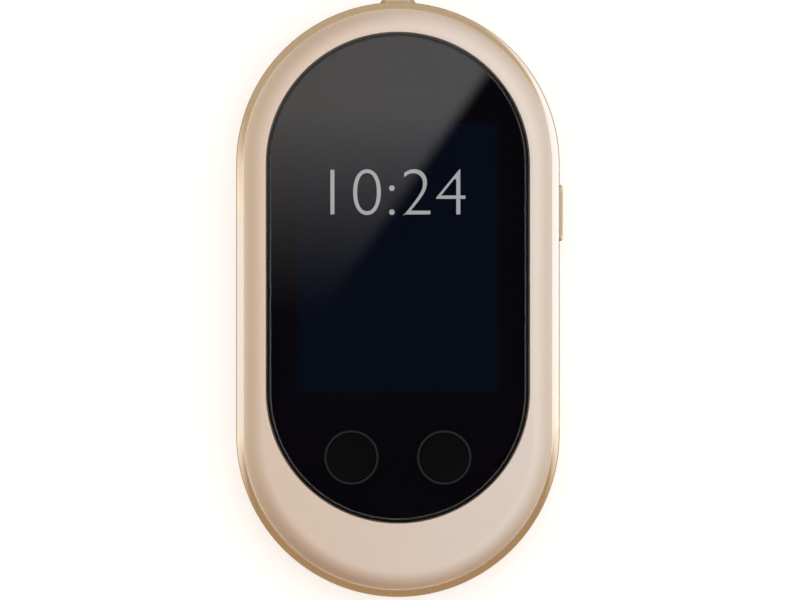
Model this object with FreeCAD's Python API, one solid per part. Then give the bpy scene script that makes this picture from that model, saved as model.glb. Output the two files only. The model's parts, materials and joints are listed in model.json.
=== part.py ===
# Handheld voice translator: a flat pocket device with fully rounded ends, a black glass
# window with a touch display behind it, two round talk buttons below the display, a power
# key on the top edge, a volume rocker on the right side and a card tray on the left side.
#
# The device lies on its back. X runs across its width, Y along its length with the top of
# the display towards +Y, and Z through its depth with the display facing up. The origin is
# the centre of the flat back. All sizes are in millimetres.

import FreeCAD
import Part
import math
import os

V = FreeCAD.Vector
RIGHT = V(1, 0, 0)
LEFT = V(-1, 0, 0)
UP_END = V(0, 1, 0)
LOW_END = V(0, -1, 0)
FRONT = V(0, 0, 1)

# Casing: outline, the round of the front edge and the softer round of the back
body_width = 59.8
body_length = 110.0
face_z = 15.35
front_round = 5.1
side_foot_z = 5.4
back_wall = 1.4
frame_wall = 1.7
deck_thickness = 1.15
deck_corner = 1.6
bezel_thickness = 2.05
bezel_tilt = 45.0
back_seam_z = 4.2
seam_gap = 0.05

# Lip and snap tabs that hold the rear cover in the frame
lip_gap = 0.1
lip_thickness = 0.9
lip_height = 1.0
tab_length = 4.0
tab_reach = 0.35
tab_height = 0.7
tab_play = 0.12
tab_end_gap = 5.1

# Flat keys that locate the bezel on the deck of the frame
bezel_key_width = 1.2
bezel_key_length = 3.0
bezel_key_depth = 0.95
bezel_key_play = 0.05
bezel_key_inset = 1.85
bezel_key_pitch = 20.0
bezel_key_end_gap = 1.1
chin_key_turn = 60.0

# Window: bezel opening, trim ring round the glass and the glass itself
rim_width = 5.65
opening_chamfer = 0.2
glass_proud = 0.25
glass_thickness = 1.05
glass_edge_bevel = 0.3
trim_play = 0.05
trim_width = 0.4
trim_lip_width = 0.22
trim_lip_drop = 0.15
trim_groove_drop = 0.45
trim_notch = 1.1
trim_ledge = 0.85
glass_play = 0.04

# Layers bonded behind the glass
ink_gap = 0.02
ink_thickness = 0.05
ink_inset = 0.05
adhesive_thickness = 0.1
adhesive_inset = 0.1
screen_width = 37.4
screen_length = 49.9
screen_top_gap = 16.8
panel_margin = 2.4
panel_side_margin = 1.3
panel_foot = 4.6
panel_thickness = 1.1
backlight_thickness = 1.1
backlight_inset = 0.2
optical_inset = 0.8

# Talk buttons under the display
button_pitch = 17.14
button_panel_gap = 1.33
button_foot_rise = 12.2
button_hole_radius = 5.05
button_ring_play = 0.03
button_ring_width = 0.4
button_ring_flange = 0.9
button_ring_flange_thickness = 0.3
button_ring_drop = 0.04
button_play = 0.07
button_drop = 0.12
button_edge = 0.15
button_flange = 0.6
button_flange_thickness = 0.5
button_travel = 0.35
stem_radius = 1.6
stem_play = 0.25
stop_gap = 0.04

# Circuit board and what stands on it
board_thickness = 0.8
board_gap = 0.3
board_corner_gap = 0.4
switch_width = 4.4
switch_height = 1.0
switch_corner = 0.4
plunger_radius = 0.9
plunger_play = 0.08
plunger_reach = 0.4
plunger_floor = 0.3
shield_wall = 0.2
shield_height = 1.4
shield_corner = 0.6
shield_length = 22.0
shield_low_y = 2.0
shield_spacing = 3.0
processor_shield_x = -9.0
processor_shield_width = 20.0
radio_shield_width = 15.0
chip_height = 0.9
chip_width = 11.0

# Screws: one size for the board and the display support plate
screw_radius = 0.65
screw_hole_play = 0.05
screw_head_radius = 1.15
screw_head_height = 0.55
screw_tip_gap = 0.1
board_screw_bite = 2.2
plate_screw_bite = 0.85
boss_radius = 1.3
boss_inset = 1.6
boss_angle = 45.0

# Support plate that closes the display window from behind
window_play = 0.4
window_corner = 1.0
plate_thickness = 0.4
plate_ledge = 2.8
plate_screw_inset = 1.6
plate_screw_end = 6.0
plate_corner = 2.0
flex_slot_width = 1.2
flex_slot_play = 1.0
flex_width = 11.0
flex_thickness = 0.15
connector_height = 0.9
display_plug_width = 12.0
display_plug_length = 1.4

# Battery in the back
battery_top_rise = 12.9
battery_low_rise = 2.9
battery_thickness = 4.6
battery_round = 1.5
tape_thickness = 0.2
tape_width = 12.0
tape_end_gap = 3.0
well_gap = 0.3
well_wall = 0.8
well_height = 1.7
battery_to_board = 2.7
battery_plug_width = 8.0
battery_plug_length = 3.0
battery_plug_gap = 1.0
battery_flex_width = 6.0

# Stiffening ribs in both ends of the rear cover
rib_width = 0.8
rib_height = 1.2
rib_length = 26.0
rib_pitch = 3.5
rib_gap = 2.4
top_rib_count = 2
low_rib_count = 4

# Keys and ports, all on one level of the side wall
port_gap = 0.05
side_key_drop = 9.1
key_height = 2.4
key_play = 0.08
key_edge = 0.35
key_flange_gap = 0.2
key_flange_thickness = 0.5
power_key_length = 6.4
power_key_proud = 0.42
power_key_travel = 0.3
power_flange_lap = 0.7
power_flange_set = 0.3
power_neck_width = 4.0
power_neck_height = 1.8
side_switch_depth = 1.6
side_switch_width = 4.2
side_switch_height = 2.3
side_plunger_radius = 0.5
side_plunger_root = 0.2
volume_switch_width = 3.4
rocker_length = 10.4
rocker_proud = 0.6
rocker_end_play = 0.22
rocker_flange_gap = 0.4
rocker_flange_lap = 0.7
rocker_flange_height = 2.9
rocker_pin_radius = 0.35
rocker_pin_play = 0.04
rocker_pin_fit = 0.01
rocker_pin_inset = 0.2
rocker_lug_width = 1.8
rocker_ear_gap = 0.06
rocker_ear_thickness = 0.5
rocker_ear_width = 1.6
rocker_nub_y = 3.6
rocker_nub_length = 0.4
rocker_nub_gap = 0.25

# Card tray on the left side
tray_head_length = 12.6
tray_head_height = 2.3
tray_head_depth = 1.6
tray_play = 0.08
tray_width = 10.0
tray_offset = -1.1
tray_length = 14.2
tray_thickness = 1.0
card_length = 12.3
card_width = 8.8
card_thickness = 0.67
card_ledge = 0.6
pinhole_radius = 0.5
pinhole_offset = 5.0
socket_wall = 0.25
socket_gap = 0.1
socket_stand_off = 0.6
socket_back = 0.6

# Charging socket at the bottom edge
usb_width = 8.94
usb_height = 3.2
usb_wall = 0.3
usb_depth = 6.8
usb_sink = 0.5
usb_play = 0.08
usb_back = 0.6
usb_base_play = 0.02
tongue_width = 6.7
tongue_thickness = 0.7
tongue_length = 4.5
tongue_sink = 0.8
contact_count = 12
contact_pitch = 0.5
contact_width = 0.25
contact_length = 3.2
contact_thickness = 0.04
contact_inset = 0.5

# Microphones and loudspeakers
mic_hole_radius = 0.5
mic_top_x = 8.5
mic_bottom_x = 9.5
mic_width = 3.8
mic_length = 3.0
boot_length = 3.4
grille_end_gap = 0.1
grille_count = 6
grille_pitch = 2.6
grille_hole_radius = 0.65
speaker_length = 18.0
speaker_width = 4.4
speaker_gap = 0.6
speaker_foot_gap = 0.2
speaker_wall = 0.6
mesh_thickness = 0.4
mesh_gap = 0.05

# Antennas bonded under the deck
antenna_thickness = 0.15
antenna_width = 28.0
antenna_length = 7.0
antenna_inset = 2.0
antenna_edge_gap = 0.2
antenna_slot_width = 1.0
antenna_slot_inset = 2.5

# How far a cutting shape runs past what it cuts
over = 1.0

# Places worked out from the sizes above
side_r = body_width / 2
end_y = body_length / 2 - side_r
flat_r = side_r - front_round
round_z = face_z - front_round
back_flat_r = side_r - side_foot_z
wall_r = side_r - frame_wall
seam_turn = math.radians(bezel_tilt)

bezel_low = face_z - bezel_thickness
deck_top = bezel_low - seam_gap
deck_low = deck_top - deck_thickness
lip_out_r = wall_r - lip_gap
lip_in_r = lip_out_r - lip_thickness
lip_top = back_seam_z + lip_height
tab_z = lip_top - tab_height / 2 - lip_gap
tab_ys = (tab_end_gap - end_y, 0, end_y - tab_end_gap)

opening_r = side_r - rim_width
window_top_y = end_y
screen_y = window_top_y + opening_r - screen_top_gap - screen_length / 2
panel_top_y = screen_y + screen_length / 2 + panel_margin
panel_low_y = screen_y - screen_length / 2 - panel_foot
button_y = panel_low_y - button_panel_gap - button_hole_radius + button_ring_play - button_ring_flange
window_low_y = button_y + button_foot_rise
trim_out_r = opening_r - trim_play
glass_side_r = trim_out_r - trim_width
glass_r = glass_side_r - glass_play
glass_top = face_z + glass_proud
glass_low = glass_top - glass_thickness
ink_top = glass_low - ink_gap
ink_low = ink_top - ink_thickness
bond_low = ink_low - adhesive_thickness
panel_low = bond_low - panel_thickness
backlight_low = panel_low - backlight_thickness

panel_half = screen_width / 2 + panel_side_margin
button_xs = {"left": -button_pitch / 2, "right": button_pitch / 2}
ring_out_r = button_hole_radius - button_ring_play
ring_in_r = ring_out_r - button_ring_width
cap_r = ring_in_r - button_play
ring_flange_low = ink_low - button_ring_flange_thickness
cap_flange_top = ring_flange_low - button_play
cap_flange_low = deck_top + stop_gap + button_travel

grille_y = grille_end_gap + speaker_length / 2 - end_y
speaker_out_x = lip_in_r - speaker_foot_gap
speaker_in_x = speaker_out_x - speaker_width
battery_width = 2 * (speaker_in_x - speaker_gap)
battery_length = battery_low_rise + 2 * end_y + battery_top_rise
battery_y = (battery_top_rise - battery_low_rise) / 2
battery_low = back_wall + tape_thickness
battery_top = battery_low + battery_thickness
board_low = battery_top + battery_to_board
board_top = board_low + board_thickness
board_r = wall_r - board_gap
plunger_top = board_top + switch_height + plunger_reach
radio_shield_x = processor_shield_x + processor_shield_width / 2 + shield_spacing + radio_shield_width / 2
port_z = board_low - port_gap - usb_height / 2

key_flange_y = end_y + wall_r - key_flange_gap
power_flange_y = key_flange_y - key_flange_thickness - power_flange_set
rocker_flange_x = wall_r - rocker_flange_gap
rocker_flange_in = rocker_flange_x - key_flange_thickness
rocker_pin_x = rocker_flange_in - rocker_pin_inset
rocker_pin_reach = rocker_flange_height / 2 + rocker_ear_gap + rocker_ear_thickness
rocker_y = end_y - side_key_drop
tray_y = rocker_y
usb_mouth_y = usb_sink - body_length / 2
tray_in_x = -side_r + tray_head_depth + tray_length


def box(x_low, x_high, y_low, y_high, z_low, z_high):
    """Upright block between the given sides."""
    size = V(x_high - x_low, y_high - y_low, z_high - z_low)
    return Part.makeBox(size.x, size.y, size.z, V(x_low, y_low, z_low))


def rounded_block(x_low, x_high, y_low, y_high, z_low, z_high, radius):
    """Block whose four upright edges are rounded."""
    block = box(x_low, x_high, y_low, y_high, z_low, z_high)
    upright = [e for e in block.Edges if abs(e.tangentAt(e.FirstParameter).z) > 0.5]
    return block.makeFillet(radius, upright)


def rod(radius, foot, way, length):
    """Round bar from the point foot along way."""
    return Part.makeCylinder(radius, length, foot, way)


def stadium(radius, top_y, low_y, z_low, z_high):
    """Flat plate with two straight sides and half-round ends about (0, top_y) and (0, low_y)."""
    corners = [
        V(radius, low_y, z_low),
        V(radius, top_y, z_low),
        V(-radius, top_y, z_low),
        V(-radius, low_y, z_low),
    ]
    edges = [
        Part.makeLine(corners[0], corners[1]),
        Part.Arc(corners[1], V(0, top_y + radius, z_low), corners[2]).toShape(),
        Part.makeLine(corners[2], corners[3]),
        Part.Arc(corners[3], V(0, low_y - radius, z_low), corners[0]).toShape(),
    ]
    return Part.Face(Part.Wire(edges)).extrude(V(0, 0, z_high - z_low))


def pill(centre, long_way, out_way, length, height, depth):
    """Bar with round ends, length by height, that stands depth out of the plane at centre."""
    across = out_way.cross(long_way) * (height / 2)
    run = long_way * ((length - height) / 2)
    reach = long_way * (length / 2)
    corners = [centre + run + across, centre + run - across]
    corners += [centre - run - across, centre - run + across]
    edges = [
        Part.Arc(corners[0], centre + reach, corners[1]).toShape(),
        Part.makeLine(corners[1], corners[2]),
        Part.Arc(corners[2], centre - reach, corners[3]).toShape(),
        Part.makeLine(corners[3], corners[0]),
    ]
    return Part.Face(Part.Wire(edges)).extrude(out_way * depth)


def edges_in_plane(shape, way, distance):
    """Edges that lie wholly in the plane at that distance from the origin along way."""
    found = []
    for edge in shape.Edges:
        middle = edge.valueAt((edge.FirstParameter + edge.LastParameter) / 2)
        points = [vertex.Point for vertex in edge.Vertexes] + [middle]
        if all(abs(p.dot(way) - distance) < 1e-4 for p in points):
            found.append(edge)
    return found


def half_turn(shape):
    """The same shape turned half round about the upright axis through the origin."""
    turned = shape.copy()
    turned.rotate(V(0, 0, 0), FRONT, 180)
    return turned


def moved(shape, way):
    """A copy of the shape moved by the vector way."""
    copied = shape.copy()
    copied.translate(way)
    return copied


def section(start, *steps):
    """Closed face in the XZ plane. Each step is a corner (r, z) or a curved edge to follow."""
    edges = []
    here = V(start[0], 0, start[1])
    for step in [*steps, start]:
        if isinstance(step, Part.Edge):
            edges.append(step)
            ends = [vertex.Point for vertex in step.Vertexes]
            here = max(ends, key=lambda p: (p - here).Length)
        else:
            there = V(step[0], 0, step[1])
            edges.append(Part.makeLine(here, there))
            here = there
    return Part.Face(Part.Wire(Part.__sortEdges__(edges)))


def swept(face, top_y, low_y):
    """Solid made by a section that runs up both sides and half round both ends."""
    run = V(0, top_y - low_y, 0)
    facing = half_turn(face)
    pieces = [
        moved(face, V(0, low_y, 0)).extrude(run),
        moved(facing, V(0, low_y, 0)).extrude(run),
        moved(face, V(0, top_y, 0)).revolve(V(0, top_y, 0), FRONT, 180),
        moved(facing, V(0, low_y, 0)).revolve(V(0, low_y, 0), FRONT, 180),
    ]
    return pieces[0].multiFuse(pieces[1:]).removeSplitter()


def front_arc(from_tilt, to_tilt):
    """Stretch of the front edge's round, between two tilts of its surface from level."""
    points = []
    for tilt in (from_tilt, (from_tilt + to_tilt) / 2, to_tilt):
        r = flat_r + front_round * math.sin(tilt)
        z = round_z + front_round * math.cos(tilt)
        points.append(V(r, 0, z))
    return Part.Arc(*points).toShape()


def back_arc(z_from, z_to):
    """Stretch of the back's round between two heights."""
    points = []
    for z in (z_from, (z_from + z_to) / 2, z_to):
        points.append(V(back_r(z), 0, z))
    return Part.Arc(*points).toShape()


def back_r(z):
    """Radius of the casing at a height on the back's round."""
    return back_flat_r + math.sqrt(side_foot_z**2 - (side_foot_z - z) ** 2)


def seam_corner():
    """Inner end of the slanting joint between bezel and frame, square to the surface."""
    r_seam = flat_r + front_round * math.sin(seam_turn)
    z_seam = round_z + front_round * math.cos(seam_turn)
    depth = (z_seam - bezel_low) / math.cos(seam_turn)
    return r_seam, z_seam, r_seam - depth * math.sin(seam_turn)


def bezel_key(play):
    """Key under the bezel, at the right on y 0, grown by play."""
    x = wall_r - bezel_key_inset
    half_x = bezel_key_width / 2 + play
    half_y = bezel_key_length / 2 + play
    low_z = bezel_low - bezel_key_depth - play
    return box(x - half_x, x + half_x, -half_y, half_y, low_z, bezel_low)


def bezel_keys(play):
    """All the keys: three along each side and one at each corner of the chin."""
    keys = []
    for i in range(3):
        y = end_y - bezel_key_end_gap - bezel_key_pitch * i
        keys.append(moved(bezel_key(play), V(0, y, 0)))
        keys.append(moved(half_turn(bezel_key(play)), V(0, y, 0)))
    for turn in (-chin_key_turn, 180 + chin_key_turn):
        key = bezel_key(play)
        key.rotate(V(0, 0, 0), FRONT, turn)
        keys.append(moved(key, V(0, -end_y, 0)))
    return keys


def front_bezel():
    """Satin front ring with its rolled outer edge, window opening and locating keys."""
    r_seam, z_seam, r_in = seam_corner()
    outline = section(
        (0, bezel_low), (r_in, bezel_low), (r_seam, z_seam), front_arc(seam_turn, 0), (0, face_z)
    )
    ring = swept(outline, end_y, -end_y)
    opening = section(
        (0, bezel_low - over),
        (opening_r, bezel_low - over),
        (opening_r, face_z - opening_chamfer),
        (opening_r + opening_chamfer + over, face_z + over),
        (0, face_z + over),
    )
    ring = ring.cut(swept(opening, window_top_y, window_low_y))
    return ring.multiFuse(bezel_keys(0)).removeSplitter()


def snap_tab(play):
    """Ridge of triangular section along the lip, on the right at y 0, grown by play."""
    half = tab_height / 2 + play
    root = lip_out_r - lip_thickness / 2
    tip = lip_out_r + tab_reach + play
    outline = section(
        (root, tab_z - half),
        (lip_out_r, tab_z - half),
        (tip, tab_z),
        (lip_out_r, tab_z + half),
        (root, tab_z + half),
    )
    length = tab_length + 2 * play
    return moved(outline, V(0, -length / 2, 0)).extrude(V(0, length, 0))


def snap_tabs(play):
    """All the tabs: three on each side and one at each end."""
    tabs = []
    for y in tab_ys:
        tabs.append(moved(snap_tab(play), V(0, y, 0)))
        tabs.append(moved(half_turn(snap_tab(play)), V(0, y, 0)))
    for turn, y in ((90, end_y), (-90, -end_y)):
        tab = snap_tab(play)
        tab.rotate(V(0, 0, 0), FRONT, turn)
        tabs.append(moved(tab, V(0, y, 0)))
    return tabs


def board_screw_places():
    """Centres of the bosses at the four corners of the board."""
    r = wall_r - boss_inset
    turn = math.radians(boss_angle)
    across = r * math.cos(turn)
    along = end_y + r * math.sin(turn)
    return [V(x, y, 0) for x in (-across, across) for y in (-along, along)]


def window_block(play, z_low, z_high):
    """Space of the display and its backlight, grown by play on every side."""
    return rounded_block(
        -panel_half - play,
        panel_half + play,
        panel_low_y - play,
        panel_top_y + play,
        z_low,
        z_high,
        window_corner,
    )


def plate_screw_places():
    """Centres of the screws of the display support plate, two on each side."""
    x = panel_half + window_play + plate_screw_inset
    ys = (panel_low_y + plate_screw_end, panel_top_y - plate_screw_end)
    return [V(side * x, y, 0) for side in (-1, 1) for y in ys]


def wall_openings():
    """Everything that passes through the side wall: keys, ports and sound holes."""
    inside = wall_r - over
    through = frame_wall + 2 * over
    top = V(0, end_y + inside, port_z)
    foot = V(0, -end_y - inside, port_z)
    right = V(inside, rocker_y, port_z)
    left = V(-inside, tray_y, port_z)
    rocker_hole = rocker_length + 2 * rocker_end_play
    tray_hole = tray_head_length + 2 * tray_play
    key_hole = key_height + 2 * key_play
    cuts = [
        pill(top, RIGHT, UP_END, power_key_length + 2 * key_play, key_hole, through),
        pill(right, UP_END, RIGHT, rocker_hole, key_hole, through),
        pill(left, UP_END, LEFT, tray_hole, tray_head_height + 2 * tray_play, through),
        pill(foot, RIGHT, LOW_END, usb_width + 2 * usb_play, usb_height + 2 * usb_play, through),
    ]
    mic_y = end_y + wall_r - boot_length
    for x, way in ((mic_top_x, UP_END), (mic_bottom_x, LOW_END)):
        cuts.append(rod(mic_hole_radius, V(x, way.y * mic_y, port_z), way, boot_length + through))
    for way in (RIGHT, LEFT):
        for y in grille_ys():
            cuts.append(rod(grille_hole_radius, V(way.x * inside, y, port_z), way, through))
    return cuts


def grille_ys():
    """Places of the sound holes along each side."""
    first = grille_y - grille_pitch * (grille_count - 1) / 2
    return [first + grille_pitch * i for i in range(grille_count)]


def rocker_ears():
    """Two ears on the inside of the wall that carry the rocker's pin."""
    ears = []
    for side in (-1, 1):
        near = port_z + side * (rocker_flange_height / 2 + rocker_ear_gap)
        far = near + side * rocker_ear_thickness
        ears.append(
            box(
                rocker_pin_x - rocker_ear_width / 2,
                wall_r + frame_wall / 2,
                rocker_y - rocker_ear_width / 2,
                rocker_y + rocker_ear_width / 2,
                min(near, far),
                max(near, far),
            )
        )
    return ears


def mid_frame():
    """Polished side band, its inner deck under the glass, bosses, ears and wall openings."""
    r_seam, z_seam, r_in = seam_corner()
    foot_z = back_seam_z + seam_gap / 2
    slip = seam_gap / math.sqrt(2)
    outline = section(
        (0, deck_low),
        (wall_r - deck_corner, deck_low),
        (wall_r, deck_low - deck_corner),
        (wall_r, foot_z),
        (back_r(foot_z), foot_z),
        back_arc(foot_z, side_foot_z),
        (side_r, round_z),
        front_arc(math.pi / 2, seam_turn + slip / front_round),
        (r_in + slip, deck_top),
        (0, deck_top),
    )
    frame = swept(outline, end_y, -end_y)
    screw_places = board_screw_places()
    boss_top = deck_low + deck_thickness / 2
    bosses = [rod(boss_radius, V(p.x, p.y, board_top), FRONT, boss_top - board_top) for p in screw_places]
    frame = frame.multiFuse(bosses + rocker_ears())
    cuts = wall_openings() + snap_tabs(tab_play) + bezel_keys(bezel_key_play)
    cuts.append(window_block(window_play, deck_low - over, deck_top + over))
    hole_r = screw_radius + screw_hole_play
    for p in screw_places:
        cuts.append(rod(hole_r, V(p.x, p.y, board_top), FRONT, board_screw_bite + screw_tip_gap))
    for p in plate_screw_places():
        cuts.append(rod(hole_r, V(p.x, p.y, deck_low), FRONT, plate_screw_bite + screw_tip_gap))
    for x in button_xs.values():
        foot = V(x, button_y, deck_low - over)
        cuts.append(rod(stem_radius + stem_play, foot, FRONT, deck_thickness + 2 * over))
    pin_foot = V(rocker_pin_x, rocker_y, port_z - rocker_pin_reach)
    cuts.append(rod(rocker_pin_radius + rocker_pin_fit, pin_foot, FRONT, 2 * rocker_pin_reach))
    return frame.cut(cuts).removeSplitter()


def rear_cover():
    """Back shell with its soft round, the lip and tabs that hold it, and the battery well."""
    seam_z = back_seam_z - seam_gap / 2
    outline = section(
        (0, 0),
        (back_flat_r, 0),
        back_arc(0, seam_z),
        (lip_out_r, seam_z),
        (lip_out_r, lip_top),
        (lip_in_r, lip_top),
        (lip_in_r, back_wall + well_height),
        (lip_in_r - well_height, back_wall),
        (0, back_wall),
    )
    cover = swept(outline, end_y, -end_y)
    half_width = battery_width / 2 + well_gap
    half_length = battery_length / 2 + well_gap
    outside = box(
        -half_width - well_wall,
        half_width + well_wall,
        battery_y - half_length - well_wall,
        battery_y + half_length + well_wall,
        back_wall / 2,
        back_wall + well_height,
    )
    inside = box(
        -half_width,
        half_width,
        battery_y - half_length,
        battery_y + half_length,
        back_wall / 2,
        back_wall + well_height + over,
    )
    gap_half = half_length / 2
    gaps = box(-side_r, side_r, battery_y - gap_half, battery_y + gap_half, back_wall, face_z)
    well = outside.cut([inside, gaps])
    return cover.multiFuse([well] + cover_ribs() + snap_tabs(0)).removeSplitter()


def cover_ribs():
    """Ribs across the floor of the rear cover, beyond both ends of the battery well."""
    reach = battery_length / 2 + well_gap + well_wall + rib_gap
    ribs = []
    for side, count in ((1, top_rib_count), (-1, low_rib_count)):
        for i in range(count):
            y = battery_y + side * (reach + i * rib_pitch)
            ribs.append(
                box(
                    -rib_length / 2,
                    rib_length / 2,
                    y - rib_width / 2,
                    y + rib_width / 2,
                    back_wall / 2,
                    back_wall + rib_height,
                )
            )
    return ribs


def trim_ring():
    """Black ring that seats the glass: ledge, wall and a fine lip notched at four places."""
    lip_r = glass_side_r + trim_lip_width
    lip_z = glass_top - trim_lip_drop
    outline = section(
        (glass_side_r - trim_ledge, deck_top),
        (trim_out_r, deck_top),
        (trim_out_r, glass_top - trim_groove_drop),
        (lip_r, glass_top - trim_groove_drop),
        (lip_r, lip_z),
        (glass_side_r, lip_z),
        (glass_side_r, bond_low),
        (glass_side_r - trim_ledge, bond_low),
    )
    ring = swept(outline, window_top_y, window_low_y)
    floor_z = glass_top - trim_groove_drop
    middle_y = (window_top_y + window_low_y) / 2
    half = trim_notch / 2
    notches = [
        box(-side_r, side_r, middle_y - half, middle_y + half, floor_z, glass_top),
        box(-half, half, -body_length / 2, body_length / 2, floor_z, glass_top),
    ]
    return ring.cut(notches)


def button_holes():
    """The two round holes through the glass and the print behind it."""
    depth = glass_top - bond_low
    return [rod(button_hole_radius, V(x, button_y, bond_low), FRONT, depth) for x in button_xs.values()]


def cover_glass():
    """Front glass with its bevelled edge and two round holes for the talk buttons."""
    glass = stadium(glass_r, window_top_y, window_low_y, glass_low, glass_top)
    glass = glass.makeChamfer(glass_edge_bevel, edges_in_plane(glass, FRONT, glass_top))
    return glass.cut(button_holes())


def ink_mask():
    """Opaque black print behind the glass, open over the display and the buttons."""
    mask = stadium(glass_r - ink_inset, window_top_y, window_low_y, ink_low, ink_top)
    half_x = screen_width / 2
    half_y = screen_length / 2
    shown = box(-half_x, half_x, screen_y - half_y, screen_y + half_y, ink_low - over, ink_top + over)
    return mask.cut([shown] + button_holes())


def glass_adhesive():
    """Thin band of adhesive between the ledge of the trim ring and the glass."""
    outer_r = glass_side_r - adhesive_inset
    inner_r = glass_side_r - trim_ledge
    outer = stadium(outer_r, window_top_y, window_low_y, bond_low, ink_low)
    inner = stadium(inner_r, window_top_y, window_low_y, bond_low - over, ink_low + over)
    return outer.cut(inner)


def display_layer(z_low, z_high, inset):
    """One layer of the display stack, smaller than the panel by inset."""
    return rounded_block(
        -panel_half + inset,
        panel_half - inset,
        panel_low_y + inset,
        panel_top_y - inset,
        z_low,
        z_high,
        window_corner - inset,
    )


def support_plate():
    """Stamped plate under the deck that carries the display, with a slot for its flex."""
    lap = window_play + plate_ledge
    plate = rounded_block(
        -panel_half - lap,
        panel_half + lap,
        panel_low_y - lap,
        panel_top_y + lap,
        deck_low - plate_thickness,
        deck_low,
        plate_corner,
    )
    slot_y = panel_low_y + flex_slot_width
    half = flex_width / 2 + flex_slot_play
    cuts = [box(-half, half, panel_low_y, slot_y, deck_low - over, deck_low + over)]
    hole_r = screw_radius + screw_hole_play
    for p in plate_screw_places():
        cuts.append(rod(hole_r, V(p.x, p.y, deck_low - over), FRONT, 2 * over))
    return plate.cut(cuts)


def screws(places, seat_z, grip):
    """Identical screws driven upwards: head below seat_z, shank above it."""
    outline = section(
        (0, seat_z - screw_head_height),
        (screw_head_radius, seat_z - screw_head_height),
        (screw_head_radius, seat_z),
        (screw_radius, seat_z),
        (screw_radius, seat_z + grip),
        (0, seat_z + grip),
    )
    screw = outline.revolve(V(0, 0, 0), FRONT, 360)
    return Part.makeCompound([moved(screw, place) for place in places])


def button_ring(x):
    """Narrow ring that lines one button hole, held by a flange behind the glass."""
    outline = section(
        (ring_in_r, ring_flange_low),
        (ring_out_r + button_ring_flange, ring_flange_low),
        (ring_out_r + button_ring_flange, ink_low),
        (ring_out_r, ink_low),
        (ring_out_r, glass_top - button_ring_drop),
        (ring_in_r, glass_top - button_ring_drop),
    )
    return moved(outline.revolve(V(0, 0, 0), FRONT, 360), V(x, button_y, 0))


def talk_button(x):
    """Round cap with a bevelled rim, a retaining flange and a stem down to its switch."""
    top = glass_top - button_drop
    flange_r = cap_r + button_flange
    outline = section(
        (0, plunger_top),
        (stem_radius, plunger_top),
        (stem_radius, cap_flange_low),
        (flange_r, cap_flange_low),
        (flange_r, cap_flange_top),
        (cap_r, cap_flange_top),
        (cap_r, top - button_edge),
        (cap_r - button_edge, top),
        (0, top),
    )
    return moved(outline.revolve(V(0, 0, 0), FRONT, 360), V(x, button_y, 0))


def talk_switch(x):
    """Body of the click switch under one talk button, with a well for its plunger."""
    half = switch_width / 2
    body = rounded_block(
        x - half,
        x + half,
        button_y - half,
        button_y + half,
        board_top,
        board_top + switch_height,
        switch_corner,
    )
    well_z = board_top + plunger_floor
    return body.cut(rod(plunger_radius + plunger_play, V(x, button_y, well_z), FRONT, switch_height))


def talk_plunger(x):
    """Plunger that the stem of the talk button pushes down."""
    foot_z = board_top + plunger_floor + button_travel + stop_gap
    return rod(plunger_radius, V(x, button_y, foot_z), FRONT, plunger_top - foot_z)


def power_key():
    """Rounded key in the top edge, with a flange that keeps it from falling out."""
    face_y = body_length / 2 + power_key_proud
    foot = V(0, key_flange_y, port_z)
    cap = pill(foot, RIGHT, UP_END, power_key_length, key_height, face_y - key_flange_y)
    cap = cap.makeChamfer(key_edge, edges_in_plane(cap, UP_END, face_y))
    flange = pill(
        V(0, power_flange_y, port_z),
        RIGHT,
        UP_END,
        power_key_length + 2 * power_flange_lap,
        rocker_flange_height,
        key_flange_thickness,
    )
    neck = box(
        -power_neck_width / 2,
        power_neck_width / 2,
        power_flange_y,
        key_flange_y + power_flange_set,
        port_z - power_neck_height / 2,
        port_z + power_neck_height / 2,
    )
    return cap.multiFuse([flange, neck]).removeSplitter()


def power_switch():
    """Side-push switch on the underside of the board, behind the power key."""
    front_y = power_flange_y - plunger_reach
    back_y = front_y - side_switch_depth
    half = side_switch_width / 2
    body = box(-half, half, back_y, front_y, board_low - side_switch_height, board_low)
    hole_foot = V(0, back_y + plunger_floor, port_z)
    return body.cut(rod(side_plunger_radius + plunger_play, hole_foot, UP_END, side_switch_depth))


def power_plunger():
    """Plunger that travels with the power key."""
    back_y = power_flange_y - plunger_reach - side_switch_depth
    foot_y = back_y + plunger_floor + power_key_travel + stop_gap
    return rod(side_plunger_radius, V(0, foot_y, port_z), UP_END, power_flange_y - foot_y)


def volume_rocker():
    """Long key in the right side that rocks on a pin to press one of two switches."""
    face_x = side_r + rocker_proud
    foot = V(rocker_flange_in, rocker_y, port_z)
    flange_length = rocker_length + 2 * rocker_flange_lap
    cap = pill(foot, UP_END, RIGHT, rocker_length, key_height, face_x - rocker_flange_in)
    cap = cap.makeChamfer(key_edge, edges_in_plane(cap, RIGHT, face_x))
    flange = pill(foot, UP_END, RIGHT, flange_length, rocker_flange_height, key_flange_thickness)
    lug = box(
        rocker_pin_x - rocker_lug_width / 2,
        rocker_flange_x,
        rocker_y - rocker_lug_width / 2,
        rocker_y + rocker_lug_width / 2,
        port_z - rocker_flange_height / 2,
        port_z + rocker_flange_height / 2,
    )
    nubs = []
    for side in (-1, 1):
        root = foot + V(key_flange_thickness / 2, side * rocker_nub_y, 0)
        nubs.append(rod(side_plunger_radius, root, LEFT, rocker_nub_length + key_flange_thickness / 2))
    rocker = cap.multiFuse([flange, lug] + nubs).removeSplitter()
    hole_r = rocker_pin_radius + rocker_pin_play
    return rocker.cut(rod(hole_r, V(rocker_pin_x, rocker_y, 0), FRONT, face_z))


def rocker_pin():
    """Steel pin through the two ears of the frame and the lug of the rocker."""
    foot = V(rocker_pin_x, rocker_y, port_z - rocker_pin_reach)
    return rod(rocker_pin_radius, foot, FRONT, 2 * rocker_pin_reach)


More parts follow.
